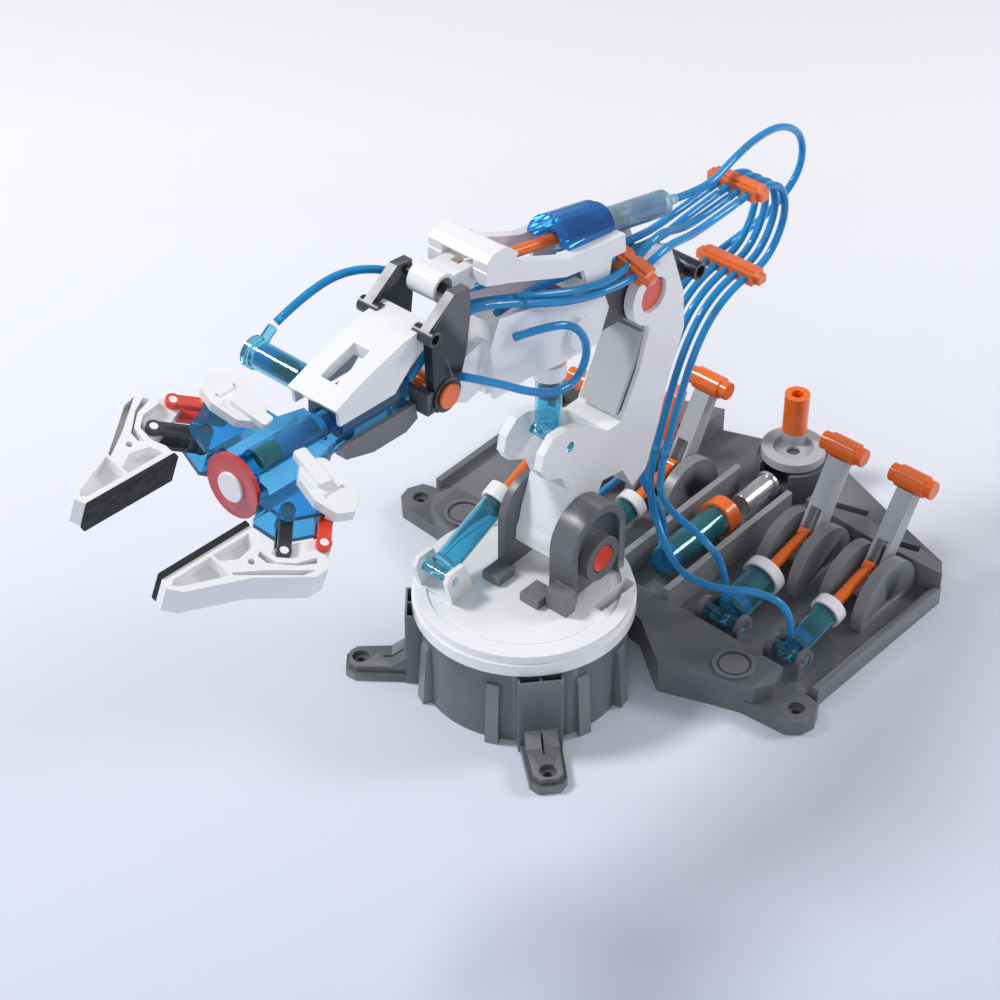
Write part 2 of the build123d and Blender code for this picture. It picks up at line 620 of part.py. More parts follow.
def lever(index):
    y = LEVER_Y[index]
    foot = rod_y(LEVER_X, LEVER_Z, 6, y - 6, y + 6)
    arm = plate([(LEVER_X - 6, LEVER_Z), (LEVER_X - 5, LEVER_Z + LEVER_LEN - 6), (LEVER_X + 5, LEVER_Z + LEVER_LEN - 6),
                 (LEVER_X + 6, LEVER_Z)], y - 5.5, y + 5.5)
    arm -= box(LEVER_X - 10, LEVER_X + 10, y - 3.6, y + 3.6, LEVER_Z + 5.8, LEVER_Z + 30)
    stick = (foot + arm) - rod_y(LEVER_X, LEVER_Z, 2.5 + FIT, y - 20, y + 20)
    grip = rod_y(LEVER_X, LEVER_Z + LEVER_LEN, 5.4, y - 14, y + 14) + rod_y(LEVER_X, LEVER_Z + LEVER_LEN, 6.6, y - 9, y + 9)
    stick -= rod_y(LEVER_X, LEVER_Z + LEVER_LEN, 6.6 + FIT, y - 14, y + 14)
    tilt = LEVER_TILT[index]
    return tilted(stick, LEVER_X, LEVER_Z, tilt), tilted(grip, LEVER_X, LEVER_Z, tilt)


def trim_lever():
    x, z = TRIM_FOOT
    arm = plate([(x - 5, z - 3), (x - 5, z + 44), (x + 1, z + 48), (x + 6, z + 42), (x + 5, z - 3)], TRIM_Y - 4, TRIM_Y + 4)
    arm -= box(x - 1.6, x + 1.6, TRIM_Y - 5, TRIM_Y + 5, z + 12, z + 38)
    arm += rod_y(x, z, 6, TRIM_Y - 4, TRIM_Y + 4)
    return tilted(arm - rod_y(x, z, 2.5 + FIT, TRIM_Y - 9, TRIM_Y + 9), x, z, 20)


def master_line(index):
    """Tail point, mouth point of a master cylinder: level, aimed at the lever's rod pin."""
    y = LEVER_Y[index]
    return (MASTER_TAIL_X, y, MASTER_TAIL_Z), (LEVER_X, y, LEVER_Z + PIN_UP)


def master_barrel(index):
    a, b = master_line(index)
    r = MASTER_R[index]
    tube = along(a, b, r, 5, 36) - along(a, b, r - 1.4, 8, 40)
    tube += rod_y(a[0], a[2], 4, a[1] - r - 4.2, a[1] + r + 4.2) + along(a, b, 4, 0, 6)
    tube += post(a[0], a[1], 2.6, a[2], BARB_TOP)
    ring = along(a, b, r + 2, 33, 40) - along(a, b, r + FIT, 30, 36 + FIT) - along(a, b, 3.4 + FIT, 30, 45)
    return tube, ring


def master_rod(index):
    a, b = master_line(index)
    reach = distance(a, b)
    rod = along(a, b, 3.4, 20, reach - 5.5) + along(a, b, MASTER_R[index] - 1.4 - FIT, 20, 25)
    eye = rod_y(b[0], b[2], 3.4, b[1] - 3, b[1] + 3)
    bar = along(a, b, 2.6, reach - 8, reach)
    return (rod + bar + eye) - rod_y(b[0], b[2], 1.6, b[1] - 8, b[1] + 8)


def crank_housing():
    x, y = CRANK
    body = post(x, y, 21, DECK_T, 26) - post(x, y, 17, 10, 40)
    body -= box(x, x + 40, y - 10, y + 10, 12, 40)
    return body + post(x, y, 4, DECK_T, 27)


def crank_disc():
    x, y = CRANK
    disc = post(x, y, 19, 27.5, 33) - post(x, y, 12, 29.5, 40)
    disc -= post(x, y, 4 + FIT, 20, 29.6)
    return disc + post(x - 10, y - 7, 8, 29.5, 36)


def crank_knob():
    x, y = CRANK
    knob = post(x - 10, y - 7, 7.5, 36, 62) - post(x - 10, y - 7, 3.5, 46, 70)
    return knob


def drive_shaft():
    return rod_x(16.5, 19, 6.5, -197, -172) + rod_x(16.5, 19, 8, -199.5, -197)


def centre_cylinder():
    tube = rod_x(16.5, 22, 9, -152, -98) - rod_x(16.5, 22, 7.5, -155, -101)
    tube += post(-99.6, 16.5, 2.6, 24, 41)
    tube -= rod_x(16.5, 22, 7.5, -155, -101)
    ring = rod_x(16.5, 22, 11.5, -158, -149) - rod_x(16.5, 22, 9 + FIT, -160, -148)
    rest = box(-146, -100, 12, 21, DECK_T, 13.2) - tube
    return tube, ring, rest


# ---------------------------------------------------------------- hoses


def console_routes():
    """From each console cylinder's barb to the foot of the riser."""
    foot = [((-95, k * CLIP_PITCH, 76), (-101, k * CLIP_PITCH, 94)) for k in BUNDLE_Y]
    return [
        [(-92, -76, BARB_TOP), (-92, -76, 48), (-88, -59, 63), (-88, -34, 64), *foot[0]],
        [(-92, -29, BARB_TOP), (-92, -29, 49), *foot[1]],
        [(-99.6, 16.5, 41), (-99.6, 16.5, 58), *foot[2]],
        [(-92, 110, BARB_TOP), (-92, 110, 45), (-84, 95, 55), (-73, 74, 52), (-74, 48, 47), (-85, 25, 55), *foot[3]],
        [(-92, 66, BARB_TOP), (-92, 66, 50), (-89, 49, 66), (-91, 29, 68), *foot[4]],
    ]


def riser_routes():
    """Up behind the arm, through the lower clip and over the loop to the upper clip."""
    up = [(-101, 94), (-111, 124), (-122, 150), (-137, 169), (-158, 178)]
    inner = up + [(-186.5, 179), (-202, 206), (-186.5, 233), (-154, 231.5)]
    routes = []
    for k in BUNDLE_Y[1:]:
        routes.append([(x, k * CLIP_PITCH, z) for x, z in inner])
    y = BUNDLE_Y[0] * CLIP_PITCH
    outer = [(x, y, z) for x, z in up] + [(-191, -13, 179.5), (-226, -13, 182), (-250, -13, 196), (-248, -12.5, 220),
                                          (-226, -11, 237), (-198, -8, 243), (-183, -5.5, 243.25)]
    return [outer] + routes


def forearm_routes():
    """From the upper clip along the forearm; the first runs into the wrist cylinder's tail."""
    return [
        [(-183, -5.5, 243.25), (-168, -3, 243.5), (-145, 0, 239.4), (-117, 0, 246.07)],
        [(-154, -6.5, 231.5), (-127, -6.5, 230.25), (-104, -3, 233), (-84, 2, 240), (-60, 4.7, 246),
         (-36, 1, 251), (-10, -5, 255), (14, -7, 259)],
        [(-154, 0, 231.5), (-127, 0, 230.25), (-104, 5, 233), (-84, 8.6, 239), (-60, 10.9, 244),
         (-36, 9.5, 249), (-10, 7, 252.5), (11, 6, 255), (29, 6, 253.5)],
        [(-154, 6.5, 231.5), (-127, 6.5, 230.25), (-106, 11, 237), (-84, 16, 248.5), (-60, 17.1, 242.8),
         (-42, 21, 244.3), (-20, 21, 249.5), (3, 18.5, 256.8), (24, 11.5, 262.5)],
        [(-154, 13, 231.5), (-127, 13, 230.25), (-106, 18, 236), (-84, 21.8, 243.4), (-60, 23.3, 239.8),
         (-42, 22.2, 239.6), (-20, 21.6, 244.6), (3, 21.6, 253), (24, 17.3, 262)],
    ]


def wrist_routes():
    """Across the wrist: to the roll cylinder, to the hand, and the slack loop on the outside."""
    return [
        [(14, -7, 259), (38, -9, 263), (55, -21, 276), (76, -36, 286), (99, -45, 283), (121, -48.9, 271.4)],
        [(74, 24.5, 250), (54, 27.5, 237), (34, 31, 222), (16, 33, 212), (-1, 33, 211), (-10, 32, 223.5),
         (-4.5, 30, 239), (10, 27, 247.5), (33, 21.2, 249)],
        [(24, 11.5, 262.5), (45, 4.5, 268.2), (62, 2, 268), (80, 1, 261), (93.8, 2, 252)],
        [(24, 17.3, 262), (45, 13, 271), (62, 10, 270), (80, 8.5, 261), (93.8, 8.5, 250.8)],
    ]


def bend_radii(route):
    """The largest arc that each corner's two runs allow."""
    radii = []
    for before, here, after in zip(route, route[1:], route[2:]):
        come = Vector(*here) - Vector(*before)
        leave = Vector(*after) - Vector(*here)
        half_turn = math.radians(come.get_angle(leave) / 2)
        radii.append(0.45 * min(come.length, leave.length) / math.tan(half_turn))
    return radii


def tube(route, radius):
    path = FilletPolyline(*route, radius=bend_radii(route))
    start = Plane(origin=path @ 0, z_dir=path % 0)
    return sweep(start * Circle(radius), path=path), path.length


def hoses(name, routes):
    solids = []
    for route in routes:
        solid, length = tube(route, HOSE_R)
        exact = math.pi * HOSE_R ** 2 * length
        tightest = min(bend_radii(route))
        print(name, "length %.0f, tightest bend %.1f, volume off by %.2f%%"
              % (length, tightest, 100 * abs(solid.volume - exact) / exact))
        solids.append(solid)
    save(group(*solids), name)


def comb(place, pitches, routes):
    """A clip: a bar across the hoses, with a hole for each, a lid ridge and a tab at each end."""
    width = CLIP_PITCH * (max(pitches) - min(pitches)) + 10
    bar = Box(10, width, 7) + Pos(0, 0, 3.9) * Box(5, width, 1.6)
    for side in (-1, 1):
        bar += Pos(0, side * (width / 2 + 1.5), 0) * Box(6, 4, 5)
    bar = place * bar
    for route in routes:
        bar -= tube(route, HOSE_R + FIT)[0]
    return bar


def build_hoses():
    risers, forearm = riser_routes(), forearm_routes()
    hoses("console_hoses", console_routes())
    hoses("riser_hoses", risers)
    hoses("forearm_hoses", forearm)
    hoses("wrist_hoses", wrist_routes())
    lower = comb(Pos(LOWER_CLIP[0], 0, LOWER_CLIP[1]), BUNDLE_Y, risers)
    upper = comb(Pos(UPPER_CLIP[0], CLIP_PITCH / 2, UPPER_CLIP[1]), BUNDLE_Y[1:], risers[1:])
    save(group(lower, upper), "hose_clips")
    whole = along(*wrist_cylinder_axis(), SLAVE_R, 0, 92)
    place = Pos(*FOREARM_CLIP) * Rot(FOREARM_CLIP_ROLL, 0, 0)
    save(comb(place, BUNDLE_Y[1:], forearm[1:]) - whole, "forearm_clip")


# ---------------------------------------------------------------- build every piece


def build_root():
    save(base_drum(), "base_drum")
    save(console_deck(), "console_deck")
    save(console_rails(), "console_rails")
    save(console_front_bar(), "console_front_bar")
    fairings = []
    for index in range(len(LEVER_Y)):
        fairings += fairing_pair(index)
    save(group(*fairings), "lever_fairings")
    save(crank_housing(), "crank_housing")
    save(group(*centre_cylinder()), "centre_cylinder")


def build_console_motion():
    barrels = []
    for index in range(len(LEVER_Y)):
        number = str(index + 1)
        stick, grip = lever(index)
        save(group(stick, grip), "lever_" + number)
        barrels += master_barrel(index)
        save(master_rod(index), "master_rod_" + number)
    save(group(*barrels), "master_barrels")
    save(trim_lever(), "trim_lever")
    save(crank_disc(), "crank_disc")
    save(crank_knob(), "crank_knob")
    save(drive_shaft(), "drive_shaft")


def build_turntable():
    disc = turntable_disc()
    save(disc, "turntable_disc")
    save(group(shoulder_bracket_right() - disc, shoulder_bracket_left() - disc), "shoulder_brackets")
    save(cylinder_clevis() - disc, "cylinder_clevis")
    save(shoulder_axle(), "shoulder_axle")


def build_arm():
    tail, eye, y = SHOULDER_CLEVIS, SHOULDER_EYE, SHOULDER_CYL_Y
    barrel = cylinder_barrel(tail, eye, y, 56, 9.4)
    save(group(barrel, collar_ring(tail, eye, y, 56)), "shoulder_barrel")
    save(cylinder_rod(tail, eye, y, 44, EYE_BORE[0]), "shoulder_rod")
    arm = upper_arm_shell() + shoulder_eye_boss()
    save(arm, "upper_arm_shell")
    save(upper_arm_front() - arm, "upper_arm_front")
    save(elbow_axle(), "elbow_axle")
    tail, eye = ELBOW_LUG, ELBOW_EYE
    barrel = cylinder_barrel(tail, eye, 0, 46, 14.9)
    save(group(barrel, collar_ring(tail, eye, 0, 46)), "elbow_barrel")
    save(cylinder_rod(tail, eye, 0, 26.5, EYE_BORE[1]), "elbow_rod")
    chassis, barrel = forearm_chassis(), wrist_barrel()
    shell = forearm_shell() - chassis
    whole = along(*wrist_cylinder_axis(), SLAVE_R, 0, 92)
    fork = forearm_fork() - shell - whole
    save(chassis, "forearm_chassis")
    save(shell, "forearm_shell")
    save(fork, "forearm_fork")
    save(cylinder_cap() - fork, "cylinder_cap")
    save(barrel, "wrist_barrel")
    save(wrist_axle(), "wrist_axle")
    save(wrist_rod(), "wrist_rod")
    save(wrist_link(), "wrist_link")


def build_hand():
    bracket = wrist_bracket()
    core = wrist_core() - bracket
    cover = wrist_cover() - bracket
    save(bracket, "wrist_bracket")
    save(core, "wrist_core")
    save(wrist_lower_shell() - core - bracket, "wrist_lower_shell")
    save(cover, "wrist_cover")
    save(roll_cylinder() - core - cover, "roll_cylinder")
    body = head_body()
    save(body, "head_body")
    save(grip_cylinder(), "grip_cylinder")
    save(group(*suction_pad()), "suction_pad")
    save(group(*[cover - body for cover in head_covers()]), "head_covers")
    for side, name in ((-1, "left"), (1, "right")):
        save(jaw_link(0, side), "rear_link_" + name)
        save(jaw_link(1, side), "front_link_" + name)
        save(group(*jaw(side)), "jaw_" + name)


def main():
    os.makedirs("parts", exist_ok=True)
    build_root()
    build_console_motion()
    build_turntable()
    build_arm()
    build_hand()
    build_hoses()


main()
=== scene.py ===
import json
import math

import bmesh
import bpy
from mathutils import Matrix, Vector


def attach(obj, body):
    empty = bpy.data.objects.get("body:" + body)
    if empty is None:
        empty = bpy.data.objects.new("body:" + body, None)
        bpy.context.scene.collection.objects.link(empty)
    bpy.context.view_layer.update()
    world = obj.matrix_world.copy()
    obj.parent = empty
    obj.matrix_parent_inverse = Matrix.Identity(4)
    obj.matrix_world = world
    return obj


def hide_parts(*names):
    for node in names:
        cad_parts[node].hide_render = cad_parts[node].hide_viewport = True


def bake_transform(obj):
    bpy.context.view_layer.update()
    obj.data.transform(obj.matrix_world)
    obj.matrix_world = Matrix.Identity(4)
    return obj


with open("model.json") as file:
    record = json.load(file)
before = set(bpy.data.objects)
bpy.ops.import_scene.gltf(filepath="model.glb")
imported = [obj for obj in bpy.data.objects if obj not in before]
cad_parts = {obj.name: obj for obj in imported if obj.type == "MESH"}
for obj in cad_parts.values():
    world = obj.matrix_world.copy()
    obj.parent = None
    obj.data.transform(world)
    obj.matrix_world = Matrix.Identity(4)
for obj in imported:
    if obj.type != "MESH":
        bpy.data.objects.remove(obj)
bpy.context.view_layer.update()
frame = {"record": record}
MM = 0.001

# ---------------------------------------------------------------- camera and light

AZIMUTH, ELEVATION, DISTANCE = math.radians(41.26), math.radians(38.93), 1.428


def camera():
    back = Vector((math.cos(ELEVATION) * math.cos(AZIMUTH), math.cos(ELEVATION) * math.sin(AZIMUTH),
                   math.sin(ELEVATION)))
    right = Vector((-math.sin(AZIMUTH), math.cos(AZIMUTH), 0))
    up = back.cross(right)
    target = right * -0.01279 + up * 0.09205
    data = bpy.data.cameras.new("camera")
    data.lens = 94.19
    data.sensor_width = 36
    data.clip_end = 20
    cam = bpy.data.objects.new("camera", data)
    bpy.context.scene.collection.objects.link(cam)
    turn = Matrix((right, up, back)).transposed().to_4x4()
    cam.matrix_world = Matrix.Translation(target + back * DISTANCE) @ turn
    bpy.context.scene.camera = cam


def area_light(name, place, size, power, colour=(1, 1, 1)):
    data = bpy.data.lights.new(name, "AREA")
    data.shape = "DISK"
    data.size = size
    data.energy = power
    data.color = colour
    light = bpy.data.objects.new(name, data)
    light.location = place
    light.rotation_euler = (Vector((0, 0, 0.1)) - Vector(place)).to_track_quat("-Z", "Y").to_euler()
    bpy.context.scene.collection.objects.link(light)


def studio():
    world = bpy.data.worlds.new("studio")
    world.use_nodes = True
    background = world.node_tree.nodes["Background"]
    background.inputs["Color"].default_value = (0.88, 0.89, 0.96, 1)
    background.inputs["Strength"].default_value = 0.42
    bpy.context.scene.world = world
    area_light("key", (0.55, -0.9, 1.5), 0.40, 18)
    area_light("fill", (1.5, 0.9, 0.9), 0.9, 4.5, (0.96, 0.97, 1.0))
    area_light("rim", (-1.2, 0.8, 1.0), 0.5, 9)
    bpy.ops.mesh.primitive_plane_add(size=8)
    floor = bpy.context.object
    floor.name = "floor"
    floor.data.materials.append(floor_material())


# ---------------------------------------------------------------- materials


def node_material(name):
    mat = bpy.data.materials.new(name)
    mat.use_nodes = True
    tree = mat.node_tree
    shader = tree.nodes["Principled BSDF"]
    coords = tree.nodes.new("ShaderNodeTexCoord")
    return mat, tree, shader, coords.outputs["Object"]


def noise(tree, where, scale, detail=4.0):
    node = tree.nodes.new("ShaderNodeTexNoise")
    node.inputs["Scale"].default_value = scale
    node.inputs["Detail"].default_value = detail
    tree.links.new(where, node.inputs["Vector"])
    return node.outputs["Fac"]


def ramp(tree, factor, low, high, start=0.3, stop=0.7):
    node = tree.nodes.new("ShaderNodeValToRGB")
    node.color_ramp.elements[0].position = start
    node.color_ramp.elements[1].position = stop
    node.color_ramp.elements[0].color = (*low, 1)
    node.color_ramp.elements[1].color = (*high, 1)
    tree.links.new(factor, node.inputs["Fac"])
    return node.outputs["Color"]


def shade(colour, k):
    return tuple(max(0.0, min(1.0, c * k)) for c in colour)


def bump(tree, shader, height, strength, depth):
    node = tree.nodes.new("ShaderNodeBump")
    node.inputs["Strength"].default_value = strength
    node.inputs["Distance"].default_value = depth
    tree.links.new(height, node.inputs["Height"])
    tree.links.new(node.outputs["Normal"], shader.inputs["Normal"])


def plastic(name, colour, rough=0.35, grain=0.15, spread=0.08, coat=0.0, wear=0.25):
    """Moulded plastic: faint flow mottling, fine tool grain, edges rubbed lighter."""
    mat, tree, shader, where = node_material(name)
    flow = ramp(tree, noise(tree, where, 22), shade(colour, 1 - spread), shade(colour, 1 + spread))
    edge = tree.nodes.new("ShaderNodeNewGeometry").outputs["Pointiness"]
    worn = ramp(tree, edge, (0, 0, 0), (wear, wear, wear), 0.52, 0.60)
    mix = tree.nodes.new("ShaderNodeMix")
    mix.data_type = "RGBA"
    tree.links.new(worn, mix.inputs[0])
    tree.links.new(flow, mix.inputs[6])
    mix.inputs[7].default_value = (*shade(tuple(0.5 * c + 0.5 for c in colour), 0.9), 1)
    tree.links.new(mix.outputs[2], shader.inputs["Base Color"])
    dull = ramp(tree, noise(tree, where, 60, 6), (rough * 0.85,) * 3, (rough * 1.2,) * 3)
    tree.links.new(dull, shader.inputs["Roughness"])
    shader.inputs["Coat Weight"].default_value = coat
    shader.inputs["Coat Roughness"].default_value = 0.12
    bump(tree, shader, noise(tree, where, 1900, 2), grain, 0.00012)
    return mat


def clear_plastic(name, colour, rough=0.07, through=0.85):
    """Tinted clear plastic: slight swirls in the tint, faint scuffs."""
    mat, tree, shader, where = node_material(name)
    swirl = ramp(tree, noise(tree, where, 30), shade(colour, 0.8), shade(colour, 1.15))
    tree.links.new(swirl, shader.inputs["Base Color"])
    scuff = ramp(tree, noise(tree, where, 140, 8), (rough * 0.6,) * 3, (rough * 2.2,) * 3, 0.4, 0.75)
    tree.links.new(scuff, shader.inputs["Roughness"])
    shader.inputs["Transmission Weight"].default_value = through
    shader.inputs["IOR"].default_value = 1.45
    bump(tree, shader, noise(tree, where, 260, 2), 0.08, 0.0002)
    return mat


def rubber(name, colour):
    mat, tree, shader, where = node_material(name)
    tone = ramp(tree, noise(tree, where, 120, 6), shade(colour, 0.7), shade(colour, 1.4))
    tree.links.new(tone, shader.inputs["Base Color"])
    dull = ramp(tree, noise(tree, where, 300), (0.55,) * 3, (0.8,) * 3)
    tree.links.new(dull, shader.inputs["Roughness"])
    bump(tree, shader, noise(tree, where, 2600, 3), 0.35, 0.0002)
    return mat


def metal(name, colour, rough):
    mat, tree, shader, where = node_material(name)
    shader.inputs["Metallic"].default_value = 0.85
    tone = ramp(tree, noise(tree, where, 90, 8), shade(colour, 0.85), shade(colour, 1.1))
    tree.links.new(tone, shader.inputs["Base Color"])
    dull = ramp(tree, noise(tree, where, 200, 4), (rough * 0.7,) * 3, (rough * 1.4,) * 3)
    tree.links.new(dull, shader.inputs["Roughness"])
    bump(tree, shader, noise(tree, where, 900, 2), 0.1, 0.0001)
    return mat


def floor_material():
    """Smooth lavender paper; the fade to near white behind is painted light, with the far paper painted brighter.
    """
    mat, tree, shader, where = node_material("floor_paper_painted_light")
    place = tree.nodes.new("ShaderNodeSeparateXYZ")
    tree.links.new(where, place.inputs[0])
    across = tree.nodes.new("ShaderNodeMath")
    across.operation = "MULTIPLY_ADD"
    tree.links.new(place.outputs["X"], across.inputs[0])
    across.inputs[1].default_value = -math.cos(AZIMUTH)
    across.inputs[2].default_value = 0.44
    depth = tree.nodes.new("ShaderNodeMath")
    depth.operation = "MULTIPLY_ADD"
    tree.links.new(place.outputs["Y"], depth.inputs[0])
    depth.inputs[1].default_value = -math.sin(AZIMUTH)
    tree.links.new(across.outputs[0], depth.inputs[2])
    # painted light: the lavender paper colour fades to near white towards the back, painting in brighter light on
    # the far paper
    tone = ramp(tree, depth.outputs[0], (0.60, 0.64, 0.80), (0.96, 0.96, 0.98), 0.0, 1.0)
    tree.links.new(tone, shader.inputs["Base Color"])
    grain = ramp(tree, noise(tree, where, 40), (0.58,) * 3, (0.66,) * 3)
    tree.links.new(grain, shader.inputs["Roughness"])
    return mat


MATERIALS = {
    "white": plastic("white_gloss", (0.90, 0.90, 0.91), 0.22, 0.05, 0.02, 0.4, 0.1),
    "light_grey": plastic("light_grey_satin", (0.48, 0.49, 0.51), 0.34, 0.14, 0.04),
    "grey": plastic("grey_satin", (0.125, 0.130, 0.142), 0.33, 0.25, 0.07),
    "mid_grey": plastic("mid_grey_satin", (0.23, 0.235, 0.25), 0.33, 0.2, 0.05),
    "dark": plastic("dark_grey_satin", (0.020, 0.023, 0.030), 0.32, 0.25, 0.10),
    "orange": plastic("orange_gloss", (0.92, 0.155, 0.004), 0.22, 0.05, 0.05, 0.4, 0.12),
    "red": plastic("red_orange_gloss", (0.80, 0.040, 0.008), 0.22, 0.05, 0.06, 0.4, 0.12),
    "green": plastic("green_plunger", (0.008, 0.17, 0.045), 0.26, 0.05, 0.1, 0.3),
    "silver": metal("silver_plated", (0.68, 0.69, 0.72), 0.24),
    "clear_blue": clear_plastic("clear_blue", (0.22, 0.72, 1.00), 0.05, 0.92),
    "head_blue": clear_plastic("head_blue", (0.12, 0.55, 1.00), 0.05, 0.88),
    "deep_blue": clear_plastic("deep_blue", (0.04, 0.36, 0.92), 0.05, 0.82),
    "frosted": clear_plastic("frosted_blue", (0.55, 0.80, 1.0), 0.16, 0.75),
    "hose": clear_plastic("hose_blue", (0.04, 0.50, 1.00), 0.05, 0.50),
    "water": clear_plastic("water_blue", (0.02, 0.42, 0.98), 0.08, 0.2),
    "hose_core": clear_plastic("hose_core", (0.02, 0.36, 0.95), 0.08, 0.1),
    "button_red": plastic("sucker_red", (0.58, 0.010, 0.012), 0.28, 0.1, 0.08, 0.3),
    "black": rubber("black_rubber", (0.012, 0.012, 0.014)),
}

# ---------------------------------------------------------------- hoses

HOSE_R = 2.1
PITCH = 6.5
BARB_TOP = 28
BUNDLE = (-2, -1, 0, 1, 2)


def console_routes():
    foot = [((-95, k * PITCH, 76), (-101, k * PITCH, 94)) for k in BUNDLE]
    return [
        [(-92, -76, BARB_TOP), (-92, -76, 48), (-88, -59, 63), (-88, -34, 64), *foot[0]],
        [(-92, -29, BARB_TOP), (-92, -29, 49), *foot[1]],
        [(-99.6, 16.5, 41), (-99.6, 16.5, 58), *foot[2]],
        [(-92, 110, BARB_TOP), (-92, 110, 45), (-84, 95, 55), (-73, 74, 52), (-74, 48, 47), (-85, 25, 55),
         *foot[3]],
        [(-92, 66, BARB_TOP), (-92, 66, 50), (-89, 49, 66), (-91, 29, 68), *foot[4]],
    ]


def riser_routes():
    up = [(-101, 94), (-111, 124), (-122, 150), (-137, 169), (-158, 178)]
    inner = up + [(-186.5, 179), (-202, 206), (-186.5, 233), (-154, 231.5)]
    routes = []
    for k in BUNDLE[1:]:
        routes.append([(x, k * PITCH, z) for x, z in inner])
    y = BUNDLE[0] * PITCH
    loop = [(-191, -13, 179.5), (-226, -13, 182), (-250, -13, 196), (-248, -12.5, 220), (-226, -11, 237),
            (-198, -8, 243), (-183, -5.5, 243.25)]
    outer = [(x, y, z) for x, z in up] + loop
    return [outer] + routes


def forearm_routes():
    return [
        [(-183, -5.5, 243.25), (-168, -3, 243.5), (-145, 0, 239.4), (-117, 0, 246.07)],
        [(-154, -6.5, 231.5), (-127, -6.5, 230.25), (-104, -3, 233), (-84, 2, 240), (-60, 4.7, 246),
         (-36, 1, 251), (-10, -5, 255), (14, -7, 259)],
        [(-154, 0, 231.5), (-127, 0, 230.25), (-104, 5, 233), (-84, 8.6, 239), (-60, 10.9, 244),
         (-36, 9.5, 249), (-10, 7, 252.5), (11, 6, 255), (29, 6, 253.5)],
        [(-154, 6.5, 231.5), (-127, 6.5, 230.25), (-106, 11, 237), (-84, 16, 248.5), (-60, 17.1, 242.8),
         (-42, 21, 244.3), (-20, 21, 249.5), (3, 18.5, 256.8), (24, 11.5, 262.5)],
        [(-154, 13, 231.5), (-127, 13, 230.25), (-106, 18, 236), (-84, 21.8, 243.4), (-60, 23.3, 239.8),
         (-42, 22.2, 239.6), (-20, 21.6, 244.6), (3, 21.6, 253), (24, 17.3, 262)],
    ]


def wrist_routes():
    return [
        [(14, -7, 259), (38, -9, 263), (55, -21, 276), (76, -36, 286), (99, -45, 283), (121, -48.9, 271.4)],
        [(74, 24.5, 250), (54, 27.5, 237), (34, 31, 222), (16, 33, 212), (-1, 33, 211), (-10, 32, 223.5),
         (-4.5, 30, 239), (10, 27, 247.5), (33, 21.2, 249)],
        [(24, 11.5, 262.5), (45, 4.5, 268.2), (62, 2, 268), (80, 1, 261), (93.8, 2, 252)],
        [(24, 17.3, 262), (45, 13, 271), (62, 10, 270), (80, 8.5, 261), (93.8, 8.5, 250.8)],
    ]


def metres(point):
    return tuple(c * MM for c in point)


def smooth_line(route):
    """Points along the NURBS spline that has the route as its control points."""
    curve = bpy.data.curves.new("line", "CURVE")
    curve.dimensions = "3D"
    curve.resolution_u = 10
    spline = curve.splines.new("NURBS")
    spline.points.add(len(route) - 1)
    for point, place in zip(spline.points, route):
        point.co = (*metres(place), 1)
    spline.order_u = 3
    spline.use_endpoint_u = True
    line = bpy.data.objects.new("line", curve)
    bpy.context.scene.collection.objects.link(line)
    bpy.context.view_layer.update()
    mesh = bpy.data.meshes.new_from_object(line)
    points = [v.co.copy() for v in mesh.vertices]
    bpy.data.objects.remove(line)
    bpy.data.meshes.remove(mesh)
    return points


def tube_rings(mesh, points, radius, sides, index):
    """A round tube along a line of points, with a steady frame from ring to ring."""
    side = (points[1] - points[0]).orthogonal().normalized()
    rings = []
    for i, point in enumerate(points):
        ahead = (points[min(i + 1, len(points) - 1)] - points[max(i - 1, 0)]).normalized()
        side = (side - ahead * side.dot(ahead)).normalized()
        other = ahead.cross(side)
        ring = []
        for k in range(sides):
            a = 2 * math.pi * k / sides
            ring.append(mesh.verts.new(point + (side * math.cos(a) + other * math.sin(a)) * radius))
        rings.append(ring)
    for one, two in zip(rings, rings[1:]):
        for k in range(sides):
            face = mesh.faces.new((one[k], one[(k + 1) % sides], two[(k + 1) % sides], two[k]))
            face.material_index = index
            face.smooth = True
    for ring in (list(reversed(rings[0])), rings[-1]):
        mesh.faces.new(ring).material_index = index


def hose(name, route, node):
    points = smooth_line(route)
    mesh = bmesh.new()
    tube_rings(mesh, points, HOSE_R * MM, 16, 0)
    tube_rings(mesh, points[1:-1], HOSE_R * 0.55 * MM, 12, 1)
    piece = finish_mesh(name, mesh, ["hose", "hose_core"])
    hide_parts(node)
    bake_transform(piece)


def finish_mesh(name, mesh, materials):
    data = bpy.data.meshes.new(name)
    mesh.to_mesh(data)
    mesh.free()
    piece = bpy.data.objects.new(name, data)
    for material in materials:
        data.materials.append(MATERIALS[material])
    bpy.context.scene.collection.objects.link(piece)
    return piece


def hoses():
    for i, route in enumerate(console_routes()):
        hose("console_hose_%d" % (i + 1), route, "console_hoses")
    for i, route in enumerate(riser_routes()):
        hose("riser_hose_%d" % (i + 1), route, "riser_hoses")
    for i, route in enumerate(forearm_routes()):
        hose("forearm_hose_%d" % (i + 1), route, "forearm_hoses")
    for i, route in enumerate(wrist_routes()):
        hose("wrist_hose_%d" % (i + 1), route, "wrist_hoses")


# ---------------------------------------------------------------- moulded pieces from the CAD solids


def islands(mesh):
    """Lists of faces, one for each separate solid."""
    left = set(mesh.faces)
    found = []
    while left:
        seed = left.pop()
        group, todo = [seed], [seed]
        while todo:
            for edge in todo.pop().edges:
                for face in edge.link_faces:
                    if face in left:
                        left.remove(face)
                        group.append(face)
                        todo.append(face)
        found.append(group)
    return found


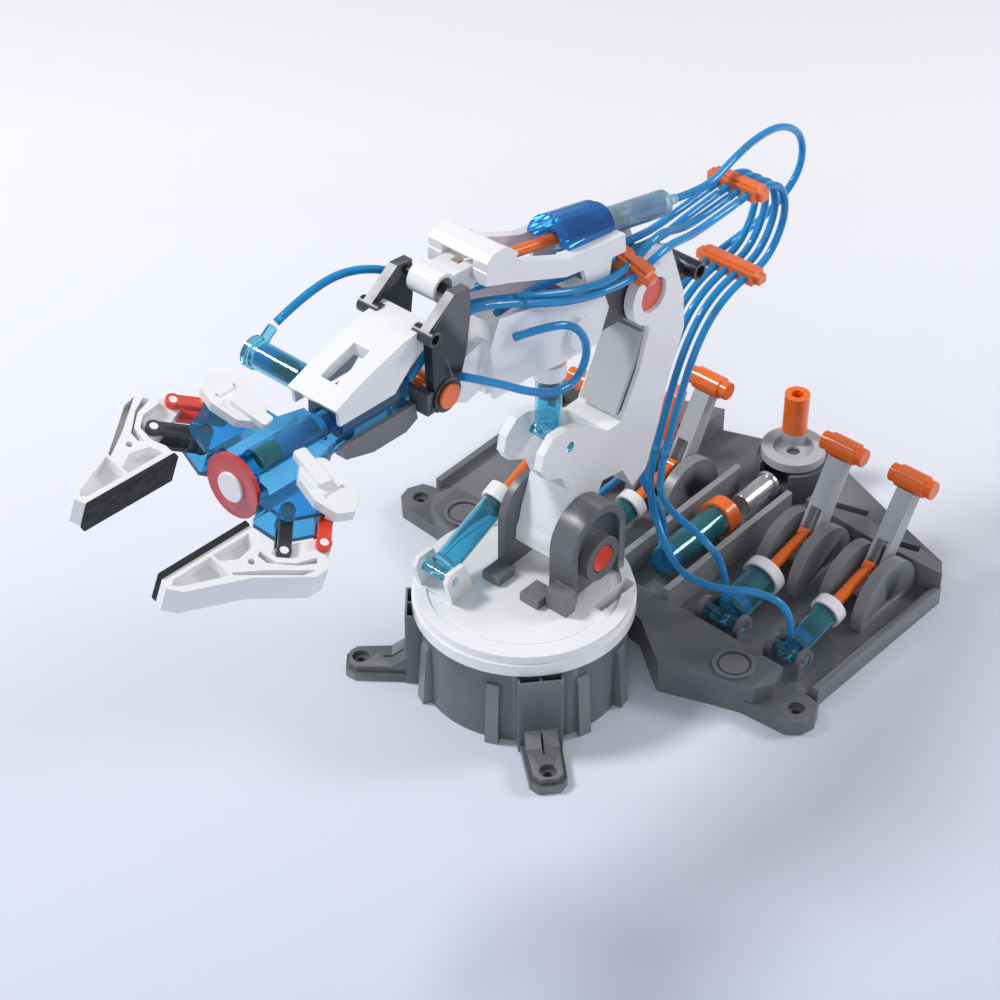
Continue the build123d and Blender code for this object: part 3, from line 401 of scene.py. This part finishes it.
def solids_of(node):
    """The node's solids as separate clean meshes, largest first."""
    mesh = bmesh.new()
    mesh.from_mesh(bpy.data.objects[node].data)
    bmesh.ops.remove_doubles(mesh, verts=mesh.verts, dist=0.000002)
    bmesh.ops.dissolve_limit(mesh, angle_limit=math.radians(0.6), verts=mesh.verts, edges=mesh.edges)
    groups = islands(mesh)
    result = []
    for group in groups:
        keep = set(group)
        part = mesh.copy()
        part.faces.ensure_lookup_table()
        mesh.faces.index_update()
        gone = [part.faces[f.index] for f in mesh.faces if f not in keep]
        bmesh.ops.delete(part, geom=gone, context="FACES")
        result.append((extent(part), part))
    mesh.free()
    result.sort(key=lambda item: -sum(item[0]))
    return result


def extent(mesh):
    """Size along X, Y, Z in millimetres."""
    sizes = []
    for axis in range(3):
        values = [v.co[axis] for v in mesh.verts]
        sizes.append((max(values) - min(values)) / MM)
    return sizes


def moulded(node, choose, edge=0.45):
    """Replace a node by its solids with rounded edges, each in its own material."""
    for i, (size, mesh) in enumerate(solids_of(node)):
        material = choose if isinstance(choose, str) else choose(i, size)
        piece = finish_mesh("%s_piece_%d" % (node, i + 1), mesh, [material])
        for face in piece.data.polygons:
            face.use_smooth = True
        bevel = piece.modifiers.new("edges", "BEVEL")
        bevel.width = edge * MM
        bevel.segments = 2
        bevel.limit_method = "ANGLE"
        bevel.angle_limit = math.radians(28)
        smooth = piece.modifiers.new("normals", "WEIGHTED_NORMAL")
        smooth.keep_sharp = True
        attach(piece, body_of[node])
        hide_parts(node)


body_of = {node: body for body, nodes in frame["record"]["behaviour"]["bodies"].items() for node in nodes}


def skin():
    plain = {
        "base_drum": "grey", "console_deck": "grey", "console_rails": "mid_grey", "console_front_bar": "grey",
        "crank_housing": "grey", "turntable_disc": "white", "shoulder_brackets": "grey",
        "cylinder_clevis": "white", "shoulder_axle": "red", "upper_arm_shell": "white",
        "upper_arm_front": "light_grey", "elbow_axle": "red", "hose_clips": "orange",
        "shoulder_rod": "orange", "elbow_rod": "red", "forearm_chassis": "dark", "forearm_shell": "white",
        "forearm_fork": "white", "cylinder_cap": "deep_blue", "wrist_barrel": "frosted",
        "wrist_axle": "orange",
        "forearm_clip": "orange", "wrist_rod": "orange", "wrist_link": "white", "wrist_bracket": "dark",
        "wrist_lower_shell": "grey", "wrist_core": "head_blue", "wrist_cover": "white",
        "roll_cylinder": "clear_blue",
        "head_body": "head_blue", "grip_cylinder": "clear_blue", "head_covers": "white",
        "rear_link_left": "red", "rear_link_right": "red",
        "front_link_left": "dark", "front_link_right": "dark",
        "trim_lever": "orange", "crank_disc": "light_grey", "crank_knob": "orange", "drive_shaft": "silver",
    }
    for node, material in plain.items():
        moulded(node, material)
    for i in range(1, 5):
        moulded("lever_%d" % i, lambda k, size: "light_grey" if size[2] > 40 else "orange")
        moulded("master_rod_%d" % i, "orange")
    for side in ("left", "right"):
        moulded("jaw_" + side, lambda k, size: "white" if k == 0 else "black")
    moulded("suction_pad", lambda k, size: "button_red" if k == 0 else "white")
    moulded("lever_fairings", lambda k, size: "mid_grey" if size[2] > 12 else "silver")
    moulded("master_barrels", lambda k, size: "clear_blue" if size[0] > 20 else "white")
    moulded("centre_cylinder", lambda k, size: ("clear_blue", "orange", "grey")[0 if size[0] > 50 else
                                                                                1 if size[1] > 15 else 2])
    moulded("shoulder_barrel", lambda k, size: "clear_blue" if k == 0 else "white")
    moulded("elbow_barrel", lambda k, size: "clear_blue" if k == 0 else "white")


# ---------------------------------------------------------------- plungers and water


def along(start, end, near, far):
    """Two points on the line from start, at these distances towards end."""
    a, b = Vector(start), Vector(end)
    way = (b - a).normalized()
    return a + way * near, a + way * far


BAR_SIDES = 40


def insert(node, name, material, ends, radius):
    """A round bar added to a node, moving with its body."""
    mesh = bmesh.new()
    tube_rings(mesh, [end * MM for end in ends], radius * MM, BAR_SIDES, 0)
    piece = finish_mesh("%s_%s" % (node, name), mesh, [material])
    flatten(piece)
    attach(piece, body_of[node])
    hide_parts(node)


def flatten(piece):
    """Rounded rims and flat ends on a smooth bar."""
    bevel = piece.modifiers.new("edges", "BEVEL")
    bevel.width = 0.2 * MM
    bevel.segments = 2
    bevel.limit_method = "ANGLE"
    smooth = piece.modifiers.new("normals", "WEIGHTED_NORMAL")
    smooth.keep_sharp = True


WRIST = Vector((80, 0, 241))
WRIST_TURN = Matrix.Rotation(math.radians(-2.9), 3, "Y")
HEAD_TURN = WRIST_TURN @ Matrix.Rotation(math.radians(-18), 3, "X")


def on_wrist(*point):
    return WRIST + WRIST_TURN @ Vector(point)


def on_head(*point):
    return WRIST + HEAD_TURN @ Vector(point)


SLAVE_BORE = 5.6                 # bore radius of the arm's cylinders
PLUNGER_SLACK = 0.07             # a plunger's clearance in its bore
MASTERS = ((-76, 8.5), (-29, 7.0), (66, 10.0), (110, 7.5))     # y, outside radius
MASTER_WALL = 1.4
PISTON_FROM = 19.95              # a master's plunger, from its tail
PLUNGER_TO = (27, 31, 31, 31)    # and its end, clear of the mouth over its travel
WATER_TO = (10.4, 14, 14, 14)    # the water ends short of the plunger's travel


def arm_plungers():
    radius = SLAVE_BORE - PLUNGER_SLACK
    arms = (("shoulder_rod", (34, -30.5, 74), (-57, -30.5, 112), 44),
            ("elbow_rod", (-18, 0, 150), (-18, 0, 224), 26.5))
    for node, tail, eye, near in arms:
        insert(node, "plunger", "green", along(tail, eye, near - 0.05, near + 5.05), radius)


def master_plungers():
    for i, (y, outside) in enumerate(MASTERS):
        tail, pin = (-92, y, 15), (-165, y, 29)
        bore = outside - MASTER_WALL
        line = along(tail, pin, PISTON_FROM, PLUNGER_TO[i])
        insert("master_rod_%d" % (i + 1), "plunger", "green", line, bore - 0.03)
        fill = along(tail, pin, 8.3, WATER_TO[i])
        insert("master_barrels", "water_%d" % (i + 1), "water", fill, bore - 0.2)


def wrist_plungers():
    tail = Vector((-111, 0, 247.5))
    rise = Vector((math.cos(math.radians(13.4)), 0, math.sin(math.radians(13.4))))
    insert("wrist_rod", "plunger", "green", (tail + rise * 39.95, tail + rise * 46.05), SLAVE_BORE - PLUNGER_SLACK)
    insert("wrist_barrel", "water", "water", (tail + rise * 9.3, tail + rise * 26.5), 5.45)
    insert("grip_cylinder", "water", "water", (on_head(71.3, 0, 8), on_head(95, 0, 8)), 5.4)
    insert("grip_cylinder", "plunger", "green", (on_head(95.2, 0, 8), on_head(103, 0, 8)), 5.5)
    insert("roll_cylinder", "water", "water", (on_wrist(58, -42.7, 20), on_wrist(58, -31, 20)), 5.4)
    insert("roll_cylinder", "plunger", "green", (on_wrist(58, -30.8, 20), on_wrist(58, -22, 20)), 5.5)


def centre_plunger():
    def on_axis(x):
        return Vector((x, 16.5, 22))
    insert("centre_cylinder", "water", "water", (on_axis(-101.3), on_axis(-108)), 7.2)
    insert("centre_cylinder", "plunger", "green", (on_axis(-108.2), on_axis(-146)), 7.35)


def plungers():
    arm_plungers()
    master_plungers()
    wrist_plungers()
    centre_plunger()


camera()
bpy.context.scene.view_settings.view_transform = "Standard"  # keeps the whites white
hoses()
skin()
plungers()
studio()
